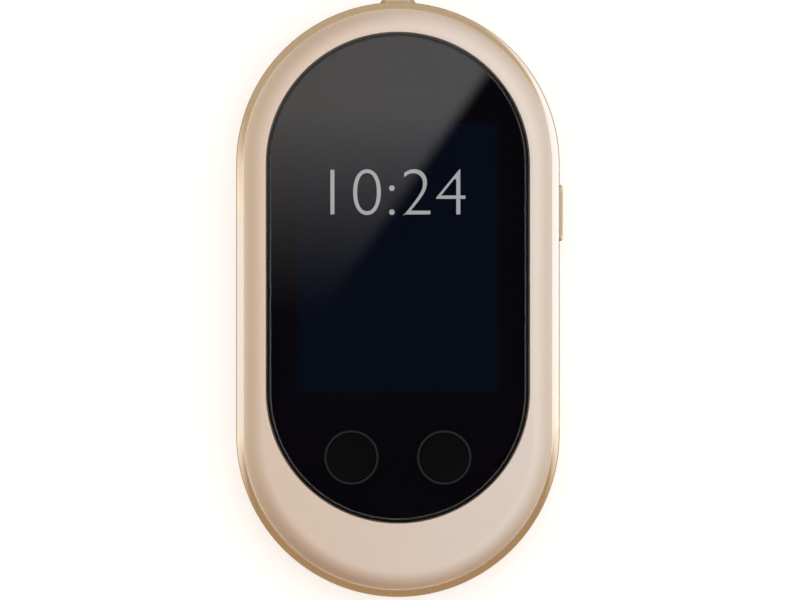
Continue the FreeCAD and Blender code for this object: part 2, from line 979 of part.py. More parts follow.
def volume_switch(side):
    """Side-push switch behind one end of the rocker, with its plunger at rest."""
    y = rocker_y + side * rocker_nub_y
    front_x = rocker_flange_in - rocker_nub_length - rocker_nub_gap - plunger_reach
    body = box(
        front_x - side_switch_depth,
        front_x,
        y - volume_switch_width / 2,
        y + volume_switch_width / 2,
        board_low - side_switch_height,
        board_low,
    )
    root = V(front_x - side_plunger_root, y, port_z)
    return body.fuse(rod(side_plunger_radius, root, RIGHT, plunger_reach + side_plunger_root))


def card_tray():
    """Flush tray head with its pinhole, and the frame that holds a small card."""
    foot = V(-side_r, tray_y, port_z)
    head = pill(foot, UP_END, RIGHT, tray_head_length, tray_head_height, tray_head_depth)
    mid_y = tray_y + tray_offset
    low_z = port_z - tray_thickness / 2
    top_z = low_z + tray_thickness
    end_x = tray_in_x - (tray_length - card_length) / 2
    half = card_width / 2
    bed = box(
        -side_r + tray_head_depth / 2,
        tray_in_x,
        mid_y - tray_width / 2,
        mid_y + tray_width / 2,
        low_z,
        top_z,
    )
    pocket = box(
        end_x - card_length,
        end_x,
        mid_y - half,
        mid_y + half,
        top_z - card_thickness,
        top_z + over,
    )
    window = box(
        end_x - card_length + card_ledge,
        end_x - card_ledge,
        mid_y - half + card_ledge,
        mid_y + half - card_ledge,
        low_z - over,
        top_z + over,
    )
    pin_foot = foot + V(-over, pinhole_offset, 0)
    pinhole = rod(pinhole_radius, pin_foot, RIGHT, tray_head_depth + 2 * over)
    return head.fuse(bed).removeSplitter().cut([pocket, window, pinhole])


def card_socket():
    """Metal-topped socket on the underside of the board that the tray slides into."""
    mid_y = tray_y + tray_offset
    half = tray_width / 2 + socket_gap
    half_z = tray_thickness / 2 + socket_gap
    x_out = -wall_r + socket_stand_off
    x_in = tray_in_x + socket_gap
    outer = box(
        x_out,
        x_in + socket_back,
        mid_y - half - socket_wall,
        mid_y + half + socket_wall,
        port_z - half_z - socket_wall,
        board_low,
    )
    inner = box(x_out - over, x_in, mid_y - half, mid_y + half, port_z - half_z, port_z + half_z)
    return outer.cut(inner)


def usb_shell():
    """Steel shell of the charging socket: a flat tube with round sides, closed behind."""
    mouth = V(0, usb_mouth_y, port_z)
    bore_foot = V(0, usb_mouth_y - over, port_z)
    bore_width = usb_width - 2 * usb_wall
    bore_height = usb_height - 2 * usb_wall
    outer = pill(mouth, RIGHT, UP_END, usb_width, usb_height, usb_depth)
    bore = pill(bore_foot, RIGHT, UP_END, bore_width, bore_height, over + usb_depth - usb_back)
    return outer.cut(bore)


def usb_tongue():
    """Black tongue in the middle of the charging socket, on its base block."""
    tip_y = usb_mouth_y + tongue_sink
    base_y = tip_y + tongue_length
    base_depth = usb_mouth_y + usb_depth - usb_back - base_y
    base_width = usb_width - 2 * (usb_wall + usb_base_play)
    base_height = usb_height - 2 * (usb_wall + usb_base_play)
    base = pill(V(0, base_y, port_z), RIGHT, UP_END, base_width, base_height, base_depth)
    tongue = box(
        -tongue_width / 2,
        tongue_width / 2,
        tip_y,
        base_y + base_depth / 2,
        port_z - tongue_thickness / 2,
        port_z + tongue_thickness / 2,
    )
    return base.fuse(tongue).removeSplitter()


def usb_contacts():
    """Rows of gold contacts on both faces of the tongue."""
    near_y = usb_mouth_y + tongue_sink + contact_inset
    half = contact_width / 2
    made = []
    for low_z in (port_z - tongue_thickness / 2 - contact_thickness, port_z + tongue_thickness / 2):
        for i in range(contact_count):
            x = (i - (contact_count - 1) / 2) * contact_pitch
            high_z = low_z + contact_thickness
            made.append(box(x - half, x + half, near_y, near_y + contact_length, low_z, high_z))
    return Part.makeCompound(made)


def main_board():
    """Circuit board with rounded ends, notched round the power key and the rocker."""
    board = stadium(board_r, end_y, -end_y, board_low, board_top)
    power_half = power_key_length / 2 + power_flange_lap + board_corner_gap
    rocker_half = rocker_length / 2 + rocker_flange_lap + board_corner_gap
    rocker_in = rocker_pin_x - rocker_ear_width / 2 - board_corner_gap
    power_in = power_flange_y - power_key_travel - stop_gap
    low_z = board_low - over
    high_z = board_top + over
    cuts = [
        box(-power_half, power_half, power_in, body_length, low_z, high_z),
        box(rocker_in, side_r, rocker_y - rocker_half, rocker_y + rocker_half, low_z, high_z),
    ]
    for p in board_screw_places():
        hole_foot = V(p.x, p.y, low_z)
        cuts.append(rod(screw_radius + screw_hole_play, hole_foot, FRONT, high_z - low_z))
    return board.cut(cuts)


def shield_can(x, width):
    """Pressed metal can about the line at x, open below, that stands on the board."""
    half = width / 2
    high_y = shield_low_y + shield_length
    top = board_top + shield_height
    can = rounded_block(x - half, x + half, shield_low_y, high_y, board_top, top, shield_corner)
    inside = box(
        x - half + shield_wall,
        x + half - shield_wall,
        shield_low_y + shield_wall,
        high_y - shield_wall,
        board_top,
        top - shield_wall,
    )
    return can.cut(inside)


def chip(x):
    """Square chip on the board, in the middle of a shield can."""
    half = chip_width / 2
    y = shield_low_y + shield_length / 2
    return box(x - half, x + half, y - half, y + half, board_top, board_top + chip_height)


def battery():
    """Flat pouch cell with rounded long edges."""
    half = battery_width / 2
    low_y = battery_y - battery_length / 2
    cell = box(-half, half, low_y, low_y + battery_length, battery_low, battery_top)
    long_edges = [e for e in cell.Edges if abs(e.tangentAt(e.FirstParameter).y) > 0.5]
    return cell.makeFillet(battery_round, long_edges)


def battery_tapes():
    """Two strips of tape that hold the battery in its well."""
    reach = battery_length / 2 - tape_end_gap
    half = tape_width / 2
    strips = []
    for x in (-battery_width / 4, battery_width / 4):
        strips.append(
            box(x - half, x + half, battery_y - reach, battery_y + reach, back_wall, battery_low)
        )
    return Part.makeCompound(strips)


def battery_connector():
    """Plug for the battery on the underside of the board."""
    near_y = battery_y + battery_length / 2 + battery_plug_gap
    half = battery_plug_width / 2
    plug_z = board_low - connector_height
    return box(-half, half, near_y, near_y + battery_plug_length, plug_z, board_low)


def battery_flex():
    """Flat lead that climbs from the top edge of the battery to its plug."""
    near_y = battery_y + battery_length / 2
    far_y = near_y + battery_plug_gap + battery_plug_length / 2
    half = battery_flex_width / 2
    mid_z = battery_low + battery_thickness / 2
    plug_z = board_low - connector_height
    out = box(-half, half, near_y, far_y, mid_z, mid_z + flex_thickness)
    climb = box(-half, half, far_y - flex_thickness, far_y, mid_z, plug_z)
    return out.fuse(climb).removeSplitter()


def display_connector():
    """Plug for the display flex on top of the board."""
    y = panel_low_y + flex_slot_width / 2
    half_x = display_plug_width / 2
    half_y = display_plug_length / 2
    return box(-half_x, half_x, y - half_y, y + half_y, board_top, board_top + connector_height)


def display_flex():
    """Flat lead from the backlight down through the slot of the support plate."""
    y = panel_low_y + flex_slot_width / 2
    half_x = flex_width / 2
    half_y = flex_thickness / 2
    plug_z = board_top + connector_height
    return box(-half_x, half_x, y - half_y, y + half_y, plug_z, backlight_low)


def speaker(side):
    """Side-firing loudspeaker box beside the battery, with a snout towards the sound holes."""
    snout_x = wall_r - mesh_gap - mesh_thickness - mesh_gap
    low_z = back_wall + well_height + speaker_foot_gap
    high_z = board_low - mesh_gap
    half = speaker_length / 2
    snout_low = lip_top + speaker_foot_gap
    body = box(speaker_in_x, speaker_out_x, -half, half, low_z, high_z)
    snout = box(speaker_out_x, snout_x, -half, half, snout_low, high_z)
    duct = box(
        speaker_out_x - speaker_wall,
        snout_x,
        speaker_wall - half,
        half - speaker_wall,
        snout_low + speaker_wall,
        high_z - speaker_wall,
    )
    made = moved(body.fuse(snout).removeSplitter().cut(duct), V(0, grille_y, 0))
    return made if side > 0 else made.mirror(V(0, 0, 0), RIGHT)


def speaker_mesh(side):
    """Thin acoustic mesh behind the sound holes."""
    x_out = wall_r - mesh_gap
    half = speaker_length / 2
    low_z = lip_top + speaker_foot_gap
    high_z = board_low - mesh_gap
    made = box(x_out - mesh_thickness, x_out, grille_y - half, grille_y + half, low_z, high_z)
    return made if side > 0 else made.mirror(V(0, 0, 0), RIGHT)


def mic_boot(x, end):
    """Rubber boot with a sound duct from the wall to a microphone, at one end of the body."""
    y_in = end_y + wall_r - boot_length
    low_z = port_z - key_height / 2
    boot = box(x - mic_width / 2, x + mic_width / 2, y_in, body_length, low_z, board_low - port_gap)
    boot = boot.common(stadium(wall_r - mesh_gap, end_y, -end_y, low_z, board_low))
    boot = boot.cut(rod(mic_hole_radius, V(x, y_in - over, port_z), UP_END, body_length))
    return boot if end > 0 else boot.mirror(V(0, 0, 0), UP_END)


def microphone(x, end):
    """Microphone capsule under the board, at the inner end of its boot."""
    y_out = end_y + wall_r - boot_length - mesh_gap
    low_z = port_z - key_height / 2
    made = box(x - mic_width / 2, x + mic_width / 2, y_out - mic_length, y_out, low_z, board_low)
    return made if end > 0 else made.mirror(V(0, 0, 0), UP_END)


def antenna(end):
    """Printed antenna film under the deck at one end, with a slot that tunes it."""
    y_out = end_y + wall_r - deck_corner - antenna_inset
    y_mid = y_out - antenna_length / 2
    half = antenna_width / 2
    low_z = deck_low - antenna_thickness
    film = box(-half, half, y_out - antenna_length, y_out, low_z, deck_low)
    edge_r = wall_r - deck_corner - antenna_edge_gap
    film = film.common(stadium(edge_r, end_y, -end_y, low_z, deck_low))
    slot_half = half - antenna_slot_inset
    slot_low_y = y_mid - antenna_slot_width / 2
    slot = box(-slot_half, slot_half, slot_low_y, slot_low_y + antenna_slot_width, low_z, deck_low)
    made = film.cut(slot)
    return made if end > 0 else made.mirror(V(0, 0, 0), UP_END)


def all_parts():
    """Every sub-part of the translator, by name."""
    parts = {
        "front_bezel": front_bezel(),
        "mid_frame": mid_frame(),
        "rear_cover": rear_cover(),
        "glass_trim_ring": trim_ring(),
        "cover_glass": cover_glass(),
        "glass_ink_mask": ink_mask(),
        "glass_adhesive": glass_adhesive(),
        "optical_adhesive": display_layer(bond_low, ink_low, optical_inset),
        "display_panel": display_layer(panel_low, bond_low, 0),
        "display_backlight": display_layer(backlight_low, panel_low, backlight_inset),
        "display_support_plate": support_plate(),
        "support_plate_screws": screws(
            plate_screw_places(), deck_low - plate_thickness, plate_thickness + plate_screw_bite
        ),
        "display_flex": display_flex(),
        "display_connector": display_connector(),
        "main_board": main_board(),
        "board_screws": screws(board_screw_places(), board_low, board_thickness + board_screw_bite),
        "processor_shield": shield_can(processor_shield_x, processor_shield_width),
        "processor_chip": chip(processor_shield_x),
        "radio_shield": shield_can(radio_shield_x, radio_shield_width),
        "radio_chip": chip(radio_shield_x),
        "power_key_switch": power_switch(),
        "volume_up_switch": volume_switch(1),
        "volume_down_switch": volume_switch(-1),
        "volume_rocker_pin": rocker_pin(),
        "card_socket": card_socket(),
        "usb_socket_shell": usb_shell(),
        "usb_socket_tongue": usb_tongue(),
        "usb_contacts": usb_contacts(),
        "battery": battery(),
        "battery_tapes": battery_tapes(),
        "battery_connector": battery_connector(),
        "battery_flex": battery_flex(),
        "top_microphone": microphone(mic_top_x, 1),
        "top_mic_boot": mic_boot(mic_top_x, 1),
        "bottom_microphone": microphone(mic_bottom_x, -1),
        "bottom_mic_boot": mic_boot(mic_bottom_x, -1),
        "cellular_antenna": antenna(1),
        "wireless_antenna": antenna(-1),
        "power_key": power_key(),
        "power_key_plunger": power_plunger(),
        "volume_rocker": volume_rocker(),
        "card_tray": card_tray(),
    }
    for name, x in button_xs.items():
        parts[f"{name}_button_ring"] = button_ring(x)
        parts[f"{name}_talk_button"] = talk_button(x)
        parts[f"{name}_button_switch"] = talk_switch(x)
        parts[f"{name}_button_plunger"] = talk_plunger(x)
    for name, side in (("left", -1), ("right", 1)):
        parts[f"{name}_speaker"] = speaker(side)
        parts[f"{name}_speaker_mesh"] = speaker_mesh(side)
    return parts


os.makedirs("parts", exist_ok=True)
for part_name, part_shape in all_parts().items():
    part_shape.exportStep(os.path.join("parts", f"{part_name}.step"))
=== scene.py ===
import json
import math

import bmesh
import bpy
from mathutils import Matrix, Vector


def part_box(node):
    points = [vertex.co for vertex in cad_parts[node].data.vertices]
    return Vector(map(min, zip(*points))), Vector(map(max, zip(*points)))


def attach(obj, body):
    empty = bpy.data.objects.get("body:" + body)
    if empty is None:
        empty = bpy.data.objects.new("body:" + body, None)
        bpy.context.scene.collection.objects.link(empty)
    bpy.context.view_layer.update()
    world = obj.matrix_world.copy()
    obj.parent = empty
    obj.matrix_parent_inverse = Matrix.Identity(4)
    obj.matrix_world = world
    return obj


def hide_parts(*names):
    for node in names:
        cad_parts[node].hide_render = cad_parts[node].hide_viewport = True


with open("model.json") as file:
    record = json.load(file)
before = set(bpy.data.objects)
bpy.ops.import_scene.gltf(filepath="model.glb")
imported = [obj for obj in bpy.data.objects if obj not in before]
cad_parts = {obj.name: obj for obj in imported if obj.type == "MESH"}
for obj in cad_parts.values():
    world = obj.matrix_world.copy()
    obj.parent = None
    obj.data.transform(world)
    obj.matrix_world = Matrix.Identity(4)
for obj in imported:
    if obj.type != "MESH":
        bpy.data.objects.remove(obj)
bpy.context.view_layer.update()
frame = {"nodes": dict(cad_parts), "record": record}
nodes = frame["nodes"]

MM = 0.001

# Sockets of the Mix node in its colour form
MIX_A = 6
MIX_B = 7
MIX_OUT = 2

# Places read from the frame, in metres
FRAME_LOW, FRAME_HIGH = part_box("mid_frame")
GLASS_LOW, GLASS_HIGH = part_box("cover_glass")
INK_LOW, INK_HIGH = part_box("glass_ink_mask")
SIDE_R = -FRAME_LOW.x
END_Y = FRAME_HIGH.y - SIDE_R
FACE_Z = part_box("front_bezel")[1].z

# Pieces in view: the casing, the flat glass, the nets behind the sound holes and the rest
CASING_NODES = ("front_bezel", "mid_frame", "rear_cover")
FLAT_NODES = ("cover_glass",)
NET_NODES = ("left_speaker_mesh", "right_speaker_mesh")
SMOOTH_NODES = (
    "cover_glass",
    "glass_trim_ring",
    "left_button_ring",
    "right_button_ring",
    "left_talk_button",
    "right_talk_button",
    "power_key",
    "volume_rocker",
    "card_tray",
    "usb_socket_shell",
    "usb_socket_tongue",
    "top_mic_boot",
    "bottom_mic_boot",
)

# Rounds of the casing, as the casing is drawn, and how near a point has to be to lie on it
FRONT_ROUND = 5.1 * MM
SIDE_FOOT_Z = 5.4 * MM
ON_SURFACE = 0.03 * MM
ROUNDING = 1e-7
SAME_WAY = math.cos(math.radians(20))

# Shading: edges sharper than this stay sharp, faces this level mirror as flats
SMOOTH_ANGLE = math.radians(30)
LEVEL = 0.9999
WELD = 0.0005 * MM
AREA_WEIGHT = 100
IMPORTED_NORMALS = "custom_normal"

# Fine grain of the finishes: range of the noise that counts, its detail and its depth
GRAIN_LOW = 0.3
GRAIN_HIGH = 0.7
GRAIN_DETAIL = 3.0
GRAIN_DEPTH = 0.01 * MM

# Woven net: its inputs, the sides of a thread, and in thread radii its pitch and its thickness
NET_INPUTS = {
    "Length": "NodeSocketFloat",
    "Width": "NodeSocketFloat",
    "Columns": "NodeSocketInt",
    "Rows": "NodeSocketInt",
    "Thread Radius": "NodeSocketFloat",
    "Material": "NodeSocketMaterial",
}
THREAD_SIDES = 6
THREAD_PITCH = 5
NET_THICKNESS = 4

# Framing of the photograph: width of what it shows, and where the object's centre falls in it
VIEW_WIDTH = 147.95 * MM
VIEW_SHIFT = Vector((0.39 * MM, -0.083 * MM))
CAMERA_HEIGHT = 400 * MM
CLIP_NEAR = 10 * MM
CLIP_FAR = 5000 * MM

# Clock shown on the display; its level is a share of the print's thickness, and the negative
# thinning makes the strokes of its font finer
CLOCK_TEXT = "10:24"
CLOCK_HEIGHT = 8.6 * MM
CLOCK_Y = 19.8 * MM
CLOCK_DEPTH = 0.01 * MM
CLOCK_LEVEL = 0.4
CLOCK_WELD = 0.001 * MM
CLOCK_THINNING = -0.02
CLOCK_TINT = "101014"
CLOCK_GLOW = "a6a6a8"

# Reflection of the studio's soft card in the glass: a slanting edge through two points
CARD_EDGE_TOP = Vector((15.4 * MM, 40.6 * MM))
CARD_EDGE_LOW = Vector((-11.3 * MM, 1.8 * MM))
CARD_SIZE = Vector((60 * MM, 106 * MM))
CARD_HEIGHT = 600 * MM
CARD_SOFTNESS = 3.6 * MM
CARD_BRIGHT = 0.95
CARD_FULL_Y = 35 * MM
CARD_DARK_Y = -5 * MM
CARD_FADE = 1.75

# Light of the room: overhead, at the horizon on four sides, and how it falls off to the left
ZENITH_GLOW = 1.2
TOP_SHARE = 1.5
LOW_SHARE = 3.0
LEFT_GLOW = "fbebcc"
RIGHT_GLOW = "e2d7c7"
TOP_GLOW = "dccfc3"
LOW_GLOW = "ae885b"
LEFT_SHADE = 0.76
SHADE_FROM = -0.5
SHADE_TO = 0.12
LEAST_SHARE = 1e-6

# Floor, just below the object: its glow lets it read as white to the camera and in reflections
FLOOR_SIZE = 3000 * MM
FLOOR_GAP = 0.02 * MM
FLOOR_TINT = "f6f6f6"
FLOOR_GLOW = 0.42

# Cards just above the floor, which the side band mirrors: X range, Y at the inner edge, Y where
# the colour has turned, Y at the outer edge, colour at the inner edge and beyond, brightness
CARD_LIFT = 1 * MM
EDGE_CARDS = {
    "studio_card_low": (-130, 130, -24, -44, -190, "fdf0e0", "a08259", 1.3),
    "studio_card_top_left": (-130, 0, 16, 40, 190, "fdf0e0", "b3a082", 1.3),
    "studio_card_top_right": (0, 130, 50, 60, 190, "fdf6ee", "b3a082", 1.3),
    "studio_card_right": (35.5, 190, -24, 0, 49.9, "fbf4ea", "f4f4fa", 1.5),
}

# Dark card close round the object: a painted shadow of the floor at its foot, which only reflections show
FOOT_REACH = 5 * MM
FOOT_LIFT = 1.5 * MM
FOOT_SHADOW_TINT = "9c8a6e"
STADIUM_STEPS = 96

# Gauze above the object, which dims what the left side and the low end reflect
GAUZE_HEIGHT = 80 * MM
GAUZE_SIZE = 600 * MM
LEFT_TINT = "f8eade"
LOW_TINT = "f6f5f3"


def linear(hex_colour):
    """Linear colour of an sRGB hex value, with full alpha."""
    channels = []
    for i in (0, 2, 4):
        c = int(hex_colour[i : i + 2], 16) / 255
        channels.append(c / 12.92 if c <= 0.04045 else ((c + 0.055) / 1.055) ** 2.4)
    return (*channels, 1.0)


def add(tree, kind, links=None, **settings):
    """Adds a node, sets its properties and inputs, and links its inputs."""
    node = tree.nodes.new(kind)
    for name, value in settings.items():
        if hasattr(node, name):
            setattr(node, name, value)
        else:
            node.inputs[name.replace("_", " ")].default_value = value
    for socket, source in (links or {}).items():
        tree.links.new(source, node.inputs[socket])
    return node


def bare_material(name):
    """A node material without nodes."""
    material = bpy.data.materials.new(name)
    material.use_nodes = True
    material.node_tree.nodes.clear()
    return material, material.node_tree


def new_material(name):
    """A node material with its output and a Principled shader."""
    material, tree = bare_material(name)
    shader = add(tree, "ShaderNodeBsdfPrincipled")
    add(tree, "ShaderNodeOutputMaterial", {"Surface": shader.outputs["BSDF"]})
    return material, tree, shader


def surface(
    name, colour, roughness, metallic=0.0, grain_mm=0.2, grain=0.0, spread=0.0, tint=0.0, **sockets
):
    """Material with a fine grain: bump of grain, roughness that varies by spread and colour by tint."""
    material, tree, shader = new_material(name)
    shader.inputs["Metallic"].default_value = metallic
    for socket, value in sockets.items():
        shader.inputs[socket.replace("_", " ")].default_value = value
    place = add(tree, "ShaderNodeTexCoord").outputs["Object"]
    noise = add(
        tree, "ShaderNodeTexNoise", {"Vector": place}, Scale=1 / (grain_mm * MM), Detail=GRAIN_DETAIL
    )
    level = noise.outputs["Fac"]
    rough = add(
        tree,
        "ShaderNodeMapRange",
        {"Value": level},
        From_Min=GRAIN_LOW,
        From_Max=GRAIN_HIGH,
        To_Min=max(roughness - spread, 0.0),
        To_Max=roughness + spread,
    )
    tree.links.new(rough.outputs["Result"], shader.inputs["Roughness"])
    light = linear(colour)
    dark = (*[c * (1 - tint) for c in light[:3]], 1.0)
    mix = add(tree, "ShaderNodeMix", {"Factor": level}, data_type="RGBA")
    mix.inputs[MIX_A].default_value = dark
    mix.inputs[MIX_B].default_value = light
    tree.links.new(mix.outputs[MIX_OUT], shader.inputs["Base Color"])
    if grain:
        bump = add(tree, "ShaderNodeBump", {"Height": level}, Strength=grain, Distance=GRAIN_DEPTH)
        tree.links.new(bump.outputs["Normal"], shader.inputs["Normal"])
    return material


def satin_lacquer():
    """Champagne metallic lacquer, sprayed satin: fine flakes that blur the reflection."""
    return surface(
        "champagne_lacquer_satin",
        "e6dad1",
        0.36,
        metallic=0.95,
        grain_mm=0.12,
        grain=0.12,
        spread=0.03,
        tint=0.03,
        Coat_Weight=0.12,
        Coat_Roughness=0.2,
    )


def gloss_lacquer(name, colour):
    """The same champagne under a gloss coat: the side band and the keys mirror the room."""
    return surface(
        name,
        colour,
        0.2,
        metallic=0.92,
        grain_mm=0.12,
        grain=0.03,
        spread=0.02,
        tint=0.02,
        Coat_Weight=0.6,
        Coat_Roughness=0.04,
    )


def window_glass():
    """Float glass, polished: clear, with a crisp reflection."""
    material, _, shader = new_material("float_glass_polished")
    shader.inputs["Base Color"].default_value = linear("ffffff")
    shader.inputs["Roughness"].default_value = 0.0
    shader.inputs["IOR"].default_value = 1.5
    shader.inputs["Transmission Weight"].default_value = 1.0
    return material


def finishes():
    """Every finish by the record's material slot."""
    satin = satin_lacquer()
    return {
        "bezel_champagne": satin,
        "cover_champagne": satin,
        "frame_champagne": gloss_lacquer("champagne_lacquer_gloss", "e4d8cb"),
        "key_champagne": gloss_lacquer("champagne_lacquer_gloss_key", "cbb99c"),
        # a polished black line that vanishes into the glass until the card shows in it
        "trim_black": surface("acrylic_polished_black", "0c0c0e", 0.06, grain_mm=0.15),
        "cover_glass": window_glass(),
        # dull violet black: the depth of the window outside the display
        "ink_black": surface(
            "ink_screen_printed_black", "131119", 0.6, grain_mm=0.05, Specular_IOR_Level=0.0
        ),
        # clear glue over a dark display: the bluish black of a screen that is off
        "adhesive": surface("acrylic_adhesive_film", "111828", 0.3, grain_mm=0.5, Specular_IOR_Level=0.0),
        # the same blue black, a little duller
        "display_panel": surface(
            "display_polariser_film", "0f1725", 0.35, grain_mm=0.1, Specular_IOR_Level=0.02
        ),
        # milky white plastic
        "backlight_white": surface("polycarbonate_moulded_white", "e8e8e6", 0.5, grain_mm=0.3, grain=0.05),
        # grey steel with an even, brushed-out shine
        "stamped_steel": surface(
            "stainless_steel_drawn", "a8a9ab", 0.26, metallic=1.0, grain_mm=0.2, grain=0.05, spread=0.06
        ),
        # dark, slightly blotched metal
        "screw_steel": surface(
            "steel_blackened", "4a4a4c", 0.35, metallic=1.0, grain_mm=0.2, grain=0.08, spread=0.08
        ),
        # whiter and cloudier than the steel
        "shield_steel": surface(
            "tin_plated_steel", "b9babc", 0.32, metallic=1.0, grain_mm=0.3, grain=0.05, spread=0.06, tint=0.05
        ),
        # glossy amber film with a slow change of tone
        "flex_amber": surface("polyimide_film", "8a5a1e", 0.3, grain_mm=0.6, grain=0.03, tint=0.08),
        # warm off-white plastic
        "connector_cream": surface("nylon_moulded_cream", "d9cfb5", 0.5, grain_mm=0.2, grain=0.05),
        # green lacquer, mottled by what lies under it
        "board_green": surface("solder_mask_green", "1d4a30", 0.35, grain_mm=0.4, grain=0.05, tint=0.15),
        # matt black with a sandy grain
        "chip_black": surface("epoxy_moulded_black", "17171a", 0.55, grain_mm=0.1, grain=0.1),
        # bluish black plastic
        "switch_body": surface("nylon_moulded_black", "23232a", 0.5, grain_mm=0.2, grain=0.05),
        # light grey plastic
        "plunger_grey": surface("nylon_moulded_grey", "c9c9c4", 0.45, grain_mm=0.2, grain=0.05),
        # fine black plastic in the mouth of the socket
        "tongue_black": surface("nylon_moulded_black_fine", "141416", 0.4, grain_mm=0.1, grain=0.05),
        # bright gold lines on the tongue
        "contact_gold": surface("copper_gold_plated", "d9ab55", 0.2, metallic=1.0, grain_mm=0.1, grain=0.03),
        # crumpled silver foil
        "battery_foil": surface("foil_laminate_pouch", "b8babd", 0.38, metallic=0.8, grain_mm=1.2, grain=0.2),
        # dull black rubber
        "boot_rubber": surface("silicone_moulded_black", "1c1c1e", 0.7, grain_mm=0.2, grain=0.1),
        # warm printed metal
        "antenna_copper": surface(
            "copper_printed", "b87b4a", 0.35, metallic=1.0, grain_mm=0.3, grain=0.08, tint=0.08
        ),
        # the faint grey circle round each button
        "ring_dark": surface(
            "aluminium_anodised_black", "18181b", 0.4, metallic=0.6, grain_mm=0.1, grain=0.05
        ),
        # black as the glass beside it, and as glossy
        "button_black": surface("polycarbonate_polished_black", "0a0a0b", 0.07, grain_mm=0.15),
        # plain dark plastic
        "speaker_black": surface("polycarbonate_moulded_dark", "19191b", 0.5, grain_mm=0.2, grain=0.05),
        # threads that swallow the light behind the sound holes
        "mesh_black": surface("polyester_woven_black", "141414", 0.8, grain_mm=0.12, grain=0.4, tint=0.5),
    }


def nearest_centre_y(y):
    """Y of the point on the casing's spine that is nearest to a place at y."""
    return min(max(y, -END_Y), END_Y)


def casing_normal(point):
    """Outward normal of the casing's outer surface at a point on it, or None off the surface."""
    away = Vector((point.x, point.y - nearest_centre_y(point.y), 0))
    r = away.length
    out = away / r if r > ROUNDING else Vector((1, 0, 0))
    up = Vector((0, 0, 1))
    flat_r = SIDE_R - FRONT_ROUND
    round_z = FACE_Z - FRONT_ROUND
    back_r = SIDE_R - SIDE_FOOT_Z
    if point.z > round_z:
        if abs(point.z - FACE_Z) < ON_SURFACE and r < flat_r:
            return up
        arc = out * (r - flat_r) + up * (point.z - round_z)
        if r > flat_r - ON_SURFACE and abs(arc.length - FRONT_ROUND) < ON_SURFACE:
            return arc.normalized()
        return None
    if point.z >= SIDE_FOOT_Z - ROUNDING:
        return out if abs(r - SIDE_R) < ON_SURFACE else None
    if abs(point.z) < ON_SURFACE and r <= back_r:
        return -up
    arc = out * (r - back_r) + up * (point.z - SIDE_FOOT_Z)
    if r > back_r - ON_SURFACE and abs(arc.length - SIDE_FOOT_Z) < ON_SURFACE:
        return arc.normalized()
    return None


def body_of(node):
    """Name of the body that carries a node."""
    for name, members in frame["record"]["behaviour"]["bodies"].items():
        if node in members:
            return name
    raise KeyError(node)


def plain_mesh(maker):
    """Evaluated mesh of a helper object, which is then removed."""
    bpy.context.scene.collection.objects.link(maker)
    mesh = bpy.data.meshes.new_from_object(maker.evaluated_get(bpy.context.evaluated_depsgraph_get()))
    bpy.data.objects.remove(maker)
    return mesh


def shown_piece(name, mesh, body):
    """Visible piece made of a mesh, which rides on a body."""
    piece = bpy.data.objects.new(name, mesh)
    bpy.context.scene.collection.objects.link(piece)
    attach(piece, body)
    return piece


def merged_copy(node):
    """Copy of a node's mesh with its loose triangles joined into one smooth surface."""
    mesh = nodes[node].data.copy()
    if IMPORTED_NORMALS in mesh.attributes:
        mesh.attributes.remove(mesh.attributes[IMPORTED_NORMALS])
    bm = bmesh.new()
    bm.from_mesh(mesh)
    bmesh.ops.remove_doubles(bm, verts=bm.verts, dist=WELD)
    bm.to_mesh(mesh)
    bm.free()
    if node in FLAT_NODES:
        for polygon in mesh.polygons:
            polygon.use_smooth = abs(polygon.normal.z) < LEVEL
        mesh.set_sharp_from_angle(angle=SMOOTH_ANGLE)
        return mesh
    for polygon in mesh.polygons:
        polygon.use_smooth = True
    mesh.set_sharp_from_angle(angle=SMOOTH_ANGLE)
    mesh = weighted_by_area(mesh)
    flatten_level_faces(mesh)
    return mesh


def weighted_by_area(mesh):
    """The mesh with corner normals that follow its larger faces, so that flats stay flat."""
    holder = bpy.data.objects.new("normal_holder", mesh)
    modifier = holder.modifiers.new("weighted", "WEIGHTED_NORMAL")
    modifier.keep_sharp = True
    modifier.weight = AREA_WEIGHT
    return plain_mesh(holder)


def flatten_level_faces(mesh):
    """Gives the level faces an exactly upright normal, so that they mirror without a ripple."""
    shaded = [Vector(n.vector) for n in mesh.corner_normals]
    for polygon in mesh.polygons:
        if abs(polygon.normal.z) > LEVEL:
            for corner in polygon.loop_indices:
                shaded[corner] = Vector((0, 0, math.copysign(1, polygon.normal.z)))
    mesh.normals_split_custom_set(shaded)


def follow_casing(mesh):
    """Turns the shading of the outer faces to the true normals of the casing."""
    shaded = [Vector(n.vector) for n in mesh.corner_normals]
    for polygon in mesh.polygons:
        for corner in polygon.loop_indices:
            point = mesh.vertices[mesh.loops[corner].vertex_index].co
            true_normal = casing_normal(point)
            if true_normal is not None and true_normal.dot(polygon.normal) > SAME_WAY:
                shaded[corner] = true_normal
    mesh.normals_split_custom_set(shaded)


def finished_piece(node, finish, casing=False):
    """Smooth-shaded piece that stands for a node, with its finish."""
    mesh = merged_copy(node)
    if casing:
        follow_casing(mesh)
    mesh.materials.clear()
    mesh.materials.append(finish)
    piece = shown_piece(f"{node}_finished", mesh, body_of(node))
    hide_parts(node)


def dress_nodes():
    """Gives every node its finish, and the ones in view a smooth piece."""
    by_slot = finishes()
    slots = {s["node"]: s["material_slot"] for s in frame["record"]["subparts"]}
    net = net_group()
    for node, obj in nodes.items():
        slot = slots[node]
        if node in CASING_NODES:
            finished_piece(node, by_slot[slot], casing=True)
        elif node in SMOOTH_NODES:
            finished_piece(node, by_slot[slot])
        elif node in NET_NODES:
            woven_net(node, net, by_slot[slot])
        else:
            obj.data.materials.clear()
            obj.data.materials.append(by_slot[slot])


